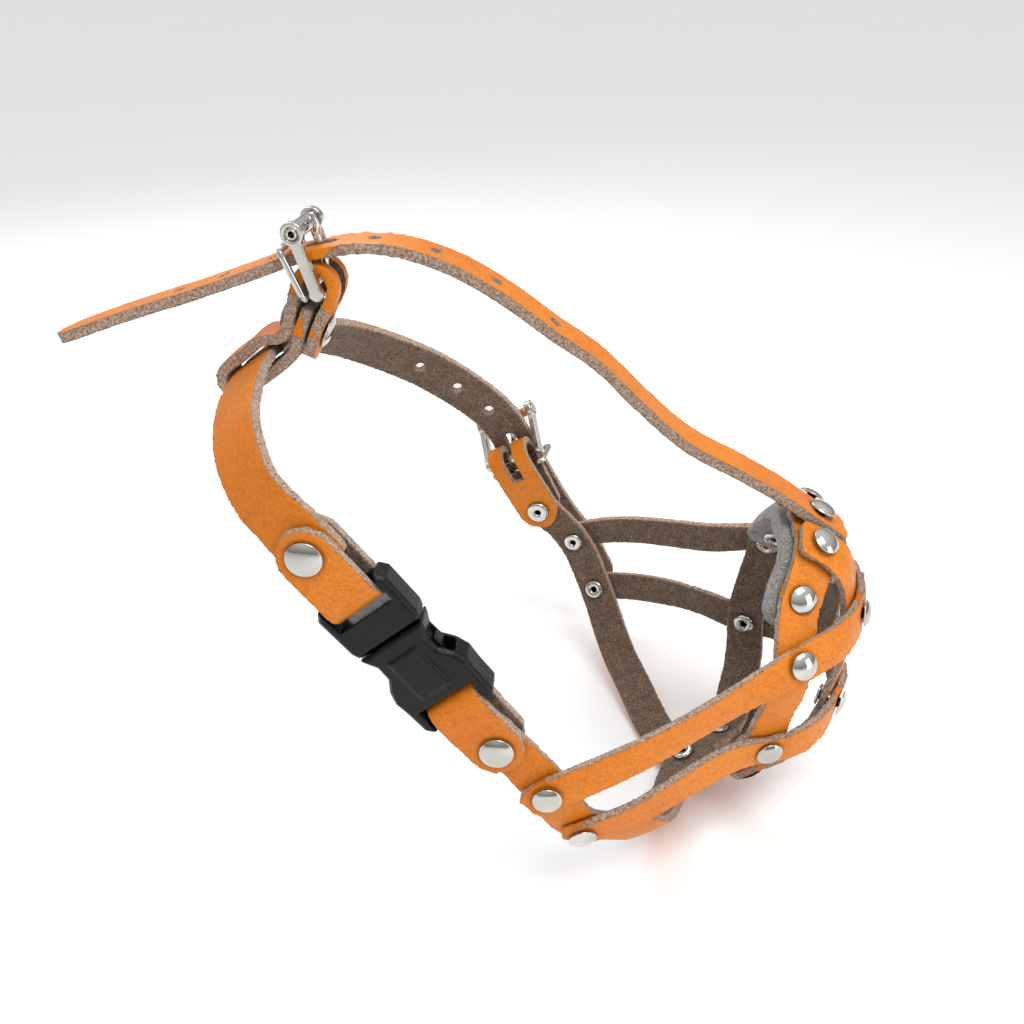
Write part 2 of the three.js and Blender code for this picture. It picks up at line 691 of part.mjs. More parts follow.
const armStub = (sign) => clipBox(armPivot + gap, armRoot + 1, Math.min(sign * 4.2, sign * 6.7), Math.max(sign * 4.2, sign * 6.7), -2.1, 2.1);
maleBase = maleBase.add(armStub(1)).add(armStub(-1));

// ---- roller buckles
// Frame axes: heel bar at the origin along W, F from the heel bar to the roller, S across both.
function buckle(origin, F, W, strapWidth) {
  const matrix = axes(origin, F, W, F.clone().cross(W).normalize());
  const inner = strapWidth / 2 + strapSideRoom;
  const mid = inner + sideThickness / 2;
  const pt = (l, w, n) => new V3(l, w, n).applyMatrix4(matrix);
  const disc = (radius, l, w, width, sides) =>
    solidOf(new THREE.CylinderGeometry(radius, radius, width, sides).translate(l, w, 0));
  const sideBar = (sign) => {
    const bar = new THREE.BoxGeometry(frameLength - eyeRadius + 0.6, sideThickness, 3);
    bar.translate((frameLength - eyeRadius + 0.6) / 2, sign * mid, 0);
    const low = disc(1.9, 0, sign * mid, sideThickness, 12);
    return solidOf(bar).add(low).add(disc(eyeRadius, frameLength, sign * mid, sideThickness, 16));
  };
  const heel = disc(heelRadius, 0, 0, 2 * mid, 12);
  const bore = disc(journalRadius + gap, frameLength, 0, 60, 16);
  const frame = sideBar(1).add(sideBar(-1)).add(heel).subtract(bore);
  const drum = disc(rollerRadius, frameLength, 0, 2 * (inner - gap), 16);
  const journals = disc(journalRadius, frameLength, 0, 2 * (mid + 1.3), 12);
  const roller = drum.add(journals).subtract(disc(journalRadius - 0.6, frameLength, 0, 60, 8));
  const { elements } = matrix;
  return { frame: frame.transform(elements), roller: roller.transform(elements), matrix, pt };
}

// Tongue: barrel round the heel bar, then a rod bowed past the strap to rest on the roller.
function tongue(b, sign) {
  const { pt, matrix } = b;
  const barrel = rod(pt(0, -1.4, 0), pt(0, 1.4, 0), heelRadius + gap + 1.15, 16);
  const rest = rollerRadius + tongueRadius + gap;
  const run = [
    [1.9, 0.6], [4, 1.7], [7.5, 2.6], [frameLength - 3, 2.9], [frameLength - 0.6, rest], [frameLength + 2.4, rest - 0.5],
  ];
  const points = run.map(([l, n]) => pt(l, 0, sign * n));
  const curve = new THREE.CatmullRomCurve3(points, false, 'centripetal').getPoints(10);
  const normal = new V3(0, 1, 0).transformDirection(matrix);
  const shaft = wire(curve, normal, tongueRadius, false, 8);
  const bore = rod(pt(0, -9, 0), pt(0, 9, 0), heelRadius + gap, 12);
  return { solid: barrel.add(shaft).subtract(bore), curve };
}

// Keeper: closed wire rectangle round the strap and the tab's fold.
function keeper(f, l0, n0, l1, n1, halfWidth) {
  const low = inFrame(f, l0, 0, n0);
  const high = inFrame(f, l1, 0, n1);
  const up = high.clone().sub(low).normalize();
  const length = low.distanceTo(high);
  const r = 1.6;
  const points = [];
  const corner = (w, h, start) => {
    for (let k = 0; k < 4; k += 1) {
      const a = start + (k / 3) * (Math.PI / 2);
      points.push(
        low.clone().addScaledVector(f.W, w + r * Math.cos(a)).addScaledVector(up, h + r * Math.sin(a)),
      );
    }
  };
  corner(halfWidth - r, length - r, 0);
  corner(-halfWidth + r, length - r, Math.PI / 2);
  corner(-halfWidth + r, r, Math.PI);
  corner(halfWidth - r, r, 1.5 * Math.PI);
  return wire(points, up.clone().cross(f.W).normalize(), wireRadius, true, 8);
}

// Cheek buckle: leans outward over the neck strap, which passes between its heel bar and roller.
const strapOut = foldHalf + (tabLeather + leather) / 2 + gap + 0.45; // neck strap's middle, out from the tab's middle
const heelOut = 1.35; // heel bar's middle, out from the tab's middle
const rollerOut = strapOut + leather / 2 + gap + rollerRadius + 0.4;
const lean = Math.asin((rollerOut - heelOut) / frameLength);
const cheekHeel = inFrame(leftTab, buckleReach, 0, heelOut);
const cheekFrameLine = leftTab.L.clone().multiplyScalar(Math.cos(lean)).addScaledVector(leftTab.N, Math.sin(lean));
const cheekBuckle = buckle(cheekHeel, cheekFrameLine, leftTab.W, neckWidth);
const cheekTongue = tongue(cheekBuckle, 1);
const cheekKeeper = keeper(
  leftTab, buckleReach - 3.8, -0.8, buckleReach - 5, strapOut + leather / 2 + wireRadius + gap + 0.6,
  neckWidth / 2 + wireRadius + 1.5,
);

// ---------------------------------------------------------------- neck strap
// From the clip round the nape to the cheek buckle, with a free tail outside the basket. It is worked as
// two lengths that meet in the crown tab's loop, because the near length moves with the clip.

const crownDrop = 15.8 + leather; // forehead strap's middle to the crown rivet
const crownPivot = crownStrap.clone().add(new V3(-3, 0, -crownDrop));
const napeAt = crownPivot.clone().add(new V3(-14, 0, -11));
const byNape = (x, y, z) => new V3(napeAt.x + x, (y * basketWidth) / 120, napeAt.z + z);
const napeNormal = new V3(-0.58, 0, 0.81).normalize();
const out = (x, y, z) => new V3(x, y, z).normalize();
const neckEnd = inFrame(neckTab, 6, 0, 0);
const meeting = 0.25; // half the gap between the two lengths
const rightNeck = freeStrap({
  points: [
    neckEnd, neckRivetAt, inFrame(neckTab, -8, 0, 0), at(-67.5, -55, 97.5), byNape(7.5, -41, -4.6),
    byNape(2, -22, -1.1), byNape(0, -7, 0), new V3(napeAt.x, -meeting, napeAt.z),
  ],
  normals: [
    neckTab.N, neckTab.N, neckTab.N, out(-0.3, -0.9, 0.3), out(-0.47, -0.66, 0.58), out(-0.56, -0.26, 0.78),
    napeNormal, napeNormal,
  ],
  width: neckWidth,
  endRound: 0,
});
const inBuckle = inFrame(leftTab, buckleReach, 0, strapOut);
const tailTop = inFrame(leftTab, buckleReach - 9, 0, strapOut + 0.6);
const leftNeck = freeStrap({
  points: [
    new V3(napeAt.x, meeting, napeAt.z), byNape(0, 7, 0), byNape(2, 22, -1.1), byNape(10, 38, -6.6),
    at(-62, 51, 93), at(-46.5, 60, 82), inFrame(leftTab, buckleReach + 15, 0.5, strapOut - 3), inBuckle, tailTop,
    at(-8, 71.5, 27), at(3, 73.5, 10), at(11.5, 71.5, -6),
  ],
  normals: [
    napeNormal, napeNormal, out(-0.54, 0.3, 0.76), out(-0.42, 0.72, 0.54), out(-0.3, 0.88, 0.36),
    out(-0.2, 0.95, 0.2), leftTab.N, leftTab.N, leftTab.N, out(0, 1, 0), out(0, 1, 0), out(0.05, 1, -0.2),
  ],
  width: neckWidth,
  startRound: 0,
  endRound: neckWidth / 2,
});

// ---------------------------------------------------------------- crown tab and buckle
// One strip: front leg, over the heel bar and keeper, down the back, round the neck strap, and up
// between its own legs, all held by one rivet.

const crown = tabFrame(crownPivot, new V3(0.39, 0, 0.92), new V3(0.92, 0, -0.39));
const crownReach = 11.9;
const toCrown = (p) => {
  const d = p.clone().sub(crownPivot);
  return [d.dot(crown.L), d.dot(crown.N)];
};
const napeSide = napeNormal.clone().cross(new V3(0, 1, 0)).normalize();
if (napeSide.z < 0) napeSide.negate();
const loopLift = leather + gap + 0.45;
const nape = (across, lift) =>
  toCrown(napeAt.clone().addScaledVector(napeSide, across).addScaledVector(napeNormal, lift));
const neckHalf = neckWidth / 2;
const crownLine = [];
const crownFlat = leather + gap + tabRoom;
[[-9, 1], [-4, 1], [1, 1], [5, 1.04], [8.5, 1.2]].forEach(([l, k]) => crownLine.push([l, k * crownFlat]));
for (let i = 0; i <= 8; i += 1) {
  const a = Math.PI / 2 - (i / 8) * Math.PI;
  crownLine.push([crownReach + foldHalf * Math.cos(a), foldHalf * Math.sin(a)]);
}
[[8.5, 1.2], [5, 1.04], [1, 1], [-4.4, 1.02]].forEach(([l, k]) => crownLine.push([l, -k * crownFlat]));
crownLine.push(nape(neckHalf - 1, loopLift + 0.35), nape(0, loopLift), nape(-neckHalf + 1, loopLift));
for (let i = 1; i < 6; i += 1) {
  const a = Math.PI / 2 + (i / 6) * Math.PI;
  crownLine.push(nape(-neckHalf + 0.2 + loopLift * Math.cos(a), loopLift * Math.sin(a)));
}
crownLine.push(nape(-neckHalf + 1, -loopLift), nape(0, -loopLift), nape(neckHalf - 3.5, -loopLift));
crownLine.push([-7.5, 0.15], [-3, 0], [1, 0], [6, 0]);
const crownCurve = new THREE.CatmullRomCurve3(
  crownLine.map(([l, n]) => new V3(l, n, 0)),
  false,
  'centripetal',
);
const crownRings = [];
const crownSteps = 56;
const crownLength = crownCurve.getLength();
for (let i = 0; i <= crownSteps; i += 1) {
  const u = i / crownSteps;
  const p = crownCurve.getPointAt(u);
  const t = crownCurve.getTangentAt(u);
  const up = new V3(-t.y, t.x, 0).multiplyScalar(leather / 2);
  const run = u * crownLength;
  const w = widthAt(run, 1e6, crownTabWidth, crownTabWidth / 2, 0) / 2;
  crownRings.push([
    inFrame(crown, p.x + up.x, -w, p.y + up.y), inFrame(crown, p.x + up.x, w, p.y + up.y),
    inFrame(crown, p.x - up.x, w, p.y - up.y), inFrame(crown, p.x - up.x, -w, p.y - up.y),
  ]);
}
let crownTab = skin(crownRings);

const crownHeel = inFrame(crown, crownReach, 0, 1.55);
const crownTop = crownHeel.clone().add(new V3(-0.3, 0, 0.954).multiplyScalar(frameLength));
const crownFrameLine = crownTop.clone().sub(crownHeel).normalize();
const crownBuckle = buckle(crownHeel, crownFrameLine, new V3(0, 1, 0), foreheadWidth);
const crownTongue = tongue(crownBuckle, -1);
const keeperLow = toCrown(inFrame(crown, crownReach - 3.2, 0, -0.8));
const keeperTop = toCrown(crownStrap.clone().add(new V3(-5.6, 0, 1.9)));
const crownKeeper = keeper(
  crown, keeperLow[0], keeperLow[1], keeperTop[0], keeperTop[1], foreheadWidth / 2 + wireRadius + 1.2,
);

// ---------------------------------------------------------------- rivets in place, holes through the leather

const names = (base) => [`${base}_left`, `${base}_right`];
const pairs = {};
const addPair = (base, point, ...stackUp) => {
  const [l, r] = names(base);
  pairs[base] = [formRivet(l, point, ...stackUp), formRivet(r, mirror(point), ...stackUp)];
};
addPair('rivet_upper_rear', upperRear, 0, 1);
addPair('rivet_lower_rear', lowerRear, 0, 1);
addPair('rivet_upper_nose', upperNose, 0, 1, 0.25);
addPair('rivet_lower_nose', lowerNose, 0, 1);
addPair('rivet_pad', feltSide, 0, 0, felt + gap, 0.25);
addPair('rivet_front_top', frontTop, 0, 1, 0.7);
addPair('rivet_upper_front', upperFront, 0, 1);
addPair('rivet_lower_front', lowerFront, 0, 1);
const foreheadHold = formRivet('rivet_forehead', at(67.2, 0, 64.2), 0, 1, 0.3, 0.95 + leather - strapLeather);
const crossHold = formRivet('rivet_chin_cross', chinCross, 0, 1, 0.2, 0.2);
const leftChinHold = formRivet('rivet_chin_left', leftChin, 0, 1, 0.3, 0.1);
const rightChinHold = formRivet('rivet_chin_right', rightChin, 0, 1, 0.4, 0.4);
const stackOf = (held) => legOut(held) + tabLeather / 2;
const thinStack = stackOf(strapLeather);
const neckStack = stackOf(leather);
const crownStack = 1.5 * leather + gap + tabRoom;
const rightCheekHold = rivet('rivet_cheek_right', rightTab.origin, rightTab.N, -thinStack, thinStack, true);
const leftCheekHold = rivet('rivet_cheek_left', leftTab.origin, leftTab.N, -thinStack, thinStack, true);
const neckHold = rivet('rivet_neck_clip', neckTab.origin, neckTab.N, -neckStack, neckStack, true);
const crownHold = rivet('rivet_crown', crown.origin, crown.N, -crownStack, crownStack, true);

const holes = (...bases) => bases.flatMap((base) => pairs[base].map((r) => r.hole));

// Round holes punched through a free strap at distances along it.
const punched = (strap, distances, radius = punchRadius) =>
  distances.map((s) => {
    const { p, n } = strap.frameAt(s);
    return rod(p.clone().addScaledVector(n, -6), p.clone().addScaledVector(n, 6), radius, 10);
  });
// Oval hole that the tongue stands in.
const oval = (strap, s, reachAlong) => {
  const list = [-reachAlong, -reachAlong / 2, 0, reachAlong / 2, reachAlong];
  const tools = punched(strap, list.map((d) => s + d), tongueRadius + gap + 0.55);
  return tools.reduce((a, b) => a.add(b));
};
const nearest = (strap, point) => {
  let best = 0;
  for (let s = 0; s < strap.path.length; s += 0.25) {
    if (strap.path.pointAt(s).distanceTo(point) < strap.path.pointAt(best).distanceTo(point)) best = s;
  }
  return best;
};
const crossing = (strap, curve) => {
  let best = 0;
  let least = 1e9;
  for (let i = 0; i < curve.length; i += 1) {
    const s = nearest(strap, curve[i]);
    const d = strap.path.pointAt(s).distanceTo(curve[i]);
    if (d < least) [least, best] = [d, s];
  }
  return best;
};

const crownHole = crossing(forehead, crownTongue.curve);
const cheekHole = crossing(leftNeck, cheekTongue.curve);
const holeStep = 14; // between the punched holes
const foreheadHoles = [1, 2.1, 3.3, 4.6].map((k) => crownHole - k * holeStep).concat([1, 2, 3].map((k) => crownHole + k * holeStep));
const neckHoles = [1.2, 2.2, 3.3].map((k) => cheekHole - k * holeStep).concat([1.6, 2.6].map((k) => cheekHole + k * holeStep));

const mainSolid = cut(
  main.solid,
  ...holes('rivet_upper_rear', 'rivet_lower_rear', 'rivet_upper_nose', 'rivet_lower_nose', 'rivet_pad', 'rivet_front_top'),
  foreheadHold.hole, crossHold.hole, leftChinHold.hole, rightChinHold.hole, rightCheekHold.hole, leftCheekHold.hole,
);
const upperSolid = cut(upper.solid, ...holes('rivet_upper_rear', 'rivet_upper_nose', 'rivet_upper_front'));
const lowerSolid = cut(lower.solid, ...holes('rivet_lower_rear', 'rivet_lower_nose', 'rivet_lower_front'));
const leftFrontSolid = cut(
  leftFront.solid, ...holes('rivet_front_top', 'rivet_upper_front', 'rivet_lower_front'), leftChinHold.hole,
);
const rightFrontSolid = cut(
  rightFront.solid, ...holes('rivet_front_top', 'rivet_upper_front', 'rivet_lower_front'), rightChinHold.hole,
);
const padSolid = cut(
  pad.solid, ...holes('rivet_pad'), ...pairs.rivet_front_top.map((r) => r.pocket), foreheadHold.pocket,
);
const foreheadSolid = cut(
  forehead.solid, foreheadHold.hole, ...punched(forehead, foreheadHoles), oval(forehead, crownHole, 2.6),
);
const rightNeckSolid = cut(rightNeck.solid, neckHold.hole);
const leftNeckSolid = cut(leftNeck.solid, ...punched(leftNeck, neckHoles), oval(leftNeck, cheekHole, 3));
const tongueSlot = (f, from, to) => {
  const box = new THREE.BoxGeometry(to - from, 3.9, 30).translate((from + to) / 2, 0, 0);
  return placed(box, frameMatrix(f));
};
rightCheekTab = cut(rightCheekTab, rightCheekHold.hole);
neckClipTab = cut(neckClipTab, neckHold.hole);
leftCheekTab = cut(leftCheekTab, leftCheekHold.hole, tongueSlot(leftTab, buckleReach - 6, buckleReach + 12));
crownTab = cut(crownTab, crownHold.hole, tongueSlot(crown, crownReach - 4, crownReach + 12));

// ---------------------------------------------------------------- the assembly

const looks = {
  leather: { color: 0xd9761f, roughness: 0.55, metalness: 0 },
  felt: { color: 0x8d8f8c, roughness: 1, metalness: 0 },
  steel: { color: 0xc9ccd0, roughness: 0.18, metalness: 1 },
  plastic: { color: 0x101114, roughness: 0.42, metalness: 0 },
};
const muzzle = new THREE.Group();
const put = (name, look, solid) => {
  const mesh = new THREE.Mesh(geometryOf(solid), new THREE.MeshStandardMaterial(looks[look]));
  mesh.name = name;
  muzzle.add(mesh);
};

put('main_strap', 'leather', mainSolid);
put('upper_side_band', 'leather', upperSolid);
put('lower_side_band', 'leather', lowerSolid);
put('front_strap_left', 'leather', leftFrontSolid);
put('front_strap_right', 'leather', rightFrontSolid);
put('forehead_strap', 'leather', foreheadSolid);
put('neck_strap_right', 'leather', rightNeckSolid);
put('neck_strap_left', 'leather', leftNeckSolid);
put('cheek_tab_right', 'leather', rightCheekTab);
put('cheek_tab_left', 'leather', leftCheekTab);
put('neck_clip_tab', 'leather', neckClipTab);
put('crown_tab', 'leather', crownTab);
put('nose_pad', 'felt', padSolid);
const clipPlace = frameMatrix(clip).elements;
put('clip_female', 'plastic', female.transform(clipPlace));
put('clip_male', 'plastic', maleBase.transform(clipPlace));
put('clip_arm_left', 'plastic', armLeft.transform(clipPlace));
put('clip_arm_right', 'plastic', armRight.transform(clipPlace));
put('cheek_buckle_frame', 'steel', cheekBuckle.frame);
put('cheek_buckle_roller', 'steel', cheekBuckle.roller);
put('cheek_buckle_tongue', 'steel', cheekTongue.solid);
put('cheek_buckle_keeper', 'steel', cheekKeeper);
put('crown_buckle_frame', 'steel', crownBuckle.frame);
put('crown_buckle_roller', 'steel', crownBuckle.roller);
put('crown_buckle_tongue', 'steel', crownTongue.solid);
put('crown_buckle_keeper', 'steel', crownKeeper);
rivets.forEach(({ name, body }) => put(name, 'steel', body));

export default muzzle;
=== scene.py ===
import json
import math

import bmesh
import bpy
import numpy as np
from mathutils import Matrix, Vector, noise
from mathutils.bvhtree import BVHTree

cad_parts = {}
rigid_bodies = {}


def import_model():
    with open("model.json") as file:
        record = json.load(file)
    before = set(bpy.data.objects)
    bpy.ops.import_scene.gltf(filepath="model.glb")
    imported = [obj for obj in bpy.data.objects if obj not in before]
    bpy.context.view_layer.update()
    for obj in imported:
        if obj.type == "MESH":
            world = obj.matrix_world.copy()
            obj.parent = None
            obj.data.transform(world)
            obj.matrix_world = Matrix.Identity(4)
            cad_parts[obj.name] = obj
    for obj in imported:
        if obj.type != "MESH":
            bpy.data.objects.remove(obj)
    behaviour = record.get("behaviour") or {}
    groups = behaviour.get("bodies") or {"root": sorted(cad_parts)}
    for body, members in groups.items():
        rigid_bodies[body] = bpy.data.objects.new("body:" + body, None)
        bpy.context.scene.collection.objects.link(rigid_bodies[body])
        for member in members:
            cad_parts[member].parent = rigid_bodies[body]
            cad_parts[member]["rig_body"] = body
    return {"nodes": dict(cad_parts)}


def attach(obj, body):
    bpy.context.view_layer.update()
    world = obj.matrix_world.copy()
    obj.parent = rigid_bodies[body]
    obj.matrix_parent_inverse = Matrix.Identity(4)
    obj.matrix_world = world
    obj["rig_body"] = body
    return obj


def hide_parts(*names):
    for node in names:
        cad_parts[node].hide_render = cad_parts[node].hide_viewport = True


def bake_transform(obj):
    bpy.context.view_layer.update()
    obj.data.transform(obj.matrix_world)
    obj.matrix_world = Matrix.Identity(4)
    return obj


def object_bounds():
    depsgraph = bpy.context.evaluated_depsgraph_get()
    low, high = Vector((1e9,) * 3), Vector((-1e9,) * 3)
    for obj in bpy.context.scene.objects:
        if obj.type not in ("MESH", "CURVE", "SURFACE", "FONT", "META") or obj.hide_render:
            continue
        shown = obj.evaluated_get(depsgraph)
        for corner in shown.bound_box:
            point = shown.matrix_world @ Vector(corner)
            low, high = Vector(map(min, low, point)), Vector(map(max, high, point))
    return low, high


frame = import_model()
cad_low, cad_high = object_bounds()
NODES = frame["nodes"]
MM = 0.001
CUT, FLESH, GRAIN = 0, 1, 2  # the three kinds of leather surface

STRAPS = ["main_strap", "upper_side_band", "lower_side_band", "front_strap_left", "front_strap_right"]
TABS = ["cheek_tab_right", "cheek_tab_left", "neck_clip_tab", "crown_tab"]
METAL = [n for n in NODES if "_buckle_" in n]
CLIP = [n for n in NODES if n.startswith("clip_")]
RIVETS = [n for n in NODES if n.startswith("rivet_")]


# ---------------------------------------------------------------- meshes


def arrays(mesh):
    co = np.zeros(len(mesh.vertices) * 3)
    mesh.vertices.foreach_get("co", co)
    edges = np.zeros(len(mesh.edges) * 2, np.int64)
    mesh.edges.foreach_get("vertices", edges)
    return co.reshape(-1, 3), edges.reshape(-1, 2)


def vertex_normals(mesh):
    out = np.zeros(len(mesh.vertices) * 3)
    mesh.vertex_normals.foreach_get("vector", out)
    return out.reshape(-1, 3)


def set_points(mesh, co):
    mesh.vertices.foreach_set("co", co.astype(np.float32).ravel())
    mesh.update()


def remeshed(node, voxel, name):
    """A fine even copy of a CAD node's skin, as an object of its own."""
    mesh = NODES[node].data.copy()
    obj = bpy.data.objects.new(name, mesh)
    bpy.context.scene.collection.objects.link(obj)
    mod = obj.modifiers.new("even", "REMESH")
    mod.mode = "VOXEL"
    mod.voxel_size = voxel
    dg = bpy.context.evaluated_depsgraph_get()
    fine = bpy.data.meshes.new_from_object(obj.evaluated_get(dg))
    obj.modifiers.clear()
    obj.data = fine
    fine.materials.clear()
    return obj


def relax(mesh, kind, rounds, share=0.5):
    """Moves each vertex along its own normal towards its neighbours of the same kind of face."""
    co, edges = arrays(mesh)
    same = kind[edges[:, 0]] == kind[edges[:, 1]]
    inner = edges[same]
    a = np.concatenate([inner[:, 0], inner[:, 1]])
    b = np.concatenate([inner[:, 1], inner[:, 0]])
    count = np.bincount(a, minlength=len(co)).astype(float)
    live = count > 2
    count[count == 0] = 1
    for i in range(rounds):
        if i % 20 == 0:
            set_points(mesh, co)
            normal = vertex_normals(mesh)
        mean = np.stack([np.bincount(a, co[b, k], len(co)) for k in range(3)], 1) / count[:, None]
        move = ((mean - co) * normal).sum(1)
        co = co + normal * (move * live * share)[:, None]
    set_points(mesh, co)


def soften(mesh, rounds, share=0.5):
    """Moves each vertex towards the mean of its neighbours."""
    co, edges = arrays(mesh)
    a = np.concatenate([edges[:, 0], edges[:, 1]])
    b = np.concatenate([edges[:, 1], edges[:, 0]])
    count = np.bincount(a, minlength=len(co)).astype(float)
    for _ in range(rounds):
        mean = np.stack([np.bincount(a, co[b, k], len(co)) for k in range(3)], 1) / count[:, None]
        co = co + (mean - co) * share
    set_points(mesh, co)


def spread(mesh, value, rounds):
    """Blurs a value held at each vertex."""
    _, edges = arrays(mesh)
    a = np.concatenate([edges[:, 0], edges[:, 1]])
    b = np.concatenate([edges[:, 1], edges[:, 0]])
    count = np.bincount(a, minlength=len(value)).astype(float) + 1
    for _ in range(rounds):
        value = (np.bincount(a, value[b], len(value)) + value) / count
    return value


def write(mesh, name, value):
    layer = mesh.attributes.new(name, "FLOAT", "POINT")
    layer.data.foreach_set("value", value.astype(np.float32))


def shown(obj, node):
    """Puts a piece in place of a CAD node, on the same body."""
    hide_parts(node)
    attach(obj, NODES[node]["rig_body"])
    return obj


# ---------------------------------------------------------------- materials


class Tree:
    """Small helper round a material's node tree."""

    def __init__(self, name):
        self.material = bpy.data.materials.new(name)
        self.material.use_nodes = True
        self.nodes = self.material.node_tree.nodes
        self.links = self.material.node_tree.links
        self.nodes.clear()
        self.out = self.nodes.new("ShaderNodeOutputMaterial")
        self.bsdf = self.nodes.new("ShaderNodeBsdfPrincipled")
        self.links.new(self.bsdf.outputs["BSDF"], self.out.inputs["Surface"])
        self.where = self.nodes.new("ShaderNodeTexCoord").outputs["Object"]

    def put(self, socket, value):
        if isinstance(value, bpy.types.NodeSocket):
            self.links.new(value, socket)
        elif isinstance(value, (tuple, list)) and len(value) == 3 and socket.type == "RGBA":
            socket.default_value = (*value, 1)
        else:
            socket.default_value = value

    def noise(self, scale, detail=3.0, rough=0.55, stretch=None):
        node = self.nodes.new("ShaderNodeTexNoise")
        where = self.where
        if stretch:
            move = self.nodes.new("ShaderNodeMapping")
            self.put(move.inputs["Vector"], where)
            move.inputs["Scale"].default_value = stretch
            where = move.outputs["Vector"]
        self.put(node.inputs["Vector"], where)
        node.inputs["Scale"].default_value = scale
        node.inputs["Detail"].default_value = detail
        node.inputs["Roughness"].default_value = rough
        return node.outputs["Fac"]

    def cells(self, scale):
        node = self.nodes.new("ShaderNodeTexVoronoi")
        self.put(node.inputs["Vector"], self.where)
        node.inputs["Scale"].default_value = scale
        return node.outputs["Distance"]

    def attribute(self, name):
        node = self.nodes.new("ShaderNodeAttribute")
        node.attribute_name = name
        return node.outputs["Fac"]

    def math(self, kind, a, b=0.0, clamp=False):
        node = self.nodes.new("ShaderNodeMath")
        node.operation = kind
        node.use_clamp = clamp
        self.put(node.inputs[0], a)
        self.put(node.inputs[1], b)
        return node.outputs[0]

    def band(self, value, low, high, to_low=0.0, to_high=1.0):
        node = self.nodes.new("ShaderNodeMapRange")
        for i, v in enumerate((value, low, high, to_low, to_high)):
            self.put(node.inputs[i], v)
        return node.outputs[0]

    def mix(self, factor, a, b):
        node = self.nodes.new("ShaderNodeMix")
        node.data_type = "RGBA"
        self.put(node.inputs[0], factor)
        self.put(node.inputs[6], a)
        self.put(node.inputs[7], b)
        return node.outputs[2]

    def blend(self, factor, a, b):
        node = self.nodes.new("ShaderNodeMix")
        self.put(node.inputs[0], factor)
        self.put(node.inputs[2], a)
        self.put(node.inputs[3], b)
        return node.outputs[0]

    def bump(self, height, distance, strength=1.0, over=None):
        node = self.nodes.new("ShaderNodeBump")
        node.inputs["Distance"].default_value = distance
        self.put(node.inputs["Strength"], strength)
        self.put(node.inputs["Height"], height)
        if over is not None:
            self.links.new(over, node.inputs["Normal"])
        return node.outputs["Normal"]

    def set(self, **values):
        for key, value in values.items():
            self.put(self.bsdf.inputs[key.replace("_", " ")], value)
        return self.material


def leather_material():
    t = Tree("tan_leather")
    # grain face
    tone = t.noise(28, 4, 0.6)
    pores = t.cells(1500)
    mottle = t.noise(420, 5, 0.65)
    pebble = t.noise(1150, 3, 0.6)
    grain = t.mix(t.band(tone, 0.3, 0.7), (0.64, 0.168, 0.006), (0.76, 0.235, 0.014))
    grain = t.mix(t.band(mottle, 0.52, 0.75, 0, 0.55), grain, (0.50, 0.112, 0.004))
    grain = t.mix(t.band(pebble, 0.42, 0.66, 0, 0.42), grain, (0.40, 0.085, 0.004))
    scuff = t.math("MULTIPLY", t.band(t.noise(900, 4, 0.7), 0.62, 0.75), t.attribute("rim"), True)
    grain = t.mix(scuff, grain, (0.30, 0.115, 0.035))
    # flesh face and cut edges
    fibre = t.noise(1500, 4, 0.7)
    clump = t.noise(310, 4, 0.6)
    flesh = t.mix(t.band(fibre, 0.35, 0.68), (0.042, 0.027, 0.018), (0.30, 0.208, 0.152))
    flesh = t.mix(t.band(clump, 0.42, 0.68, 0, 0.6), flesh, (0.078, 0.050, 0.035))
    edge = t.mix(t.band(fibre, 0.34, 0.66), (0.10, 0.062, 0.042), (0.66, 0.47, 0.36))
    edge = t.mix(t.band(t.noise(700, 3, 0.6), 0.52, 0.68, 0, 0.65), edge, (0.25, 0.165, 0.12))
    rough = t.mix(t.attribute("cut"), flesh, edge)
    wander = t.math("MULTIPLY", t.math("SUBTRACT", t.noise(1100, 3, 0.7), 0.5), 0.9)
    face = t.band(t.math("ADD", t.attribute("grain"), wander), 0.44, 0.56)
    colour = t.mix(face, rough, grain)
    # painted shade: the leather is coloured darker in a thin halo beside the rivet rims
    colour = t.mix(t.math("MULTIPLY", t.attribute("press_and_shade"), 0.35, True), colour, (0.09, 0.03, 0.01))
    gloss = t.band(mottle, 0.3, 0.7, 0.34, 0.50)
    skin = t.math("ADD", t.math("MULTIPLY", pores, 0.30), t.math("MULTIPLY", pebble, -0.75))
    height = t.blend(face, fibre, skin)
    normal = t.bump(height, 0.00042, t.blend(face, 1.0, 0.45))
    normal = t.bump(clump, 0.0006, t.blend(face, 0.7, 0.12), normal)
    t.set(Base_Color=colour, Roughness=t.blend(face, 0.95, gloss), Normal=normal)
    t.put(t.bsdf.inputs["Specular IOR Level"], t.blend(face, 0.12, 0.28))
    t.put(t.bsdf.inputs["Sheen Weight"], t.blend(face, 0.5, 0.0))
    t.put(t.bsdf.inputs["Sheen Roughness"], 0.5)
    t.put(t.bsdf.inputs["Sheen Tint"], (0.75, 0.62, 0.52))
    return t.material


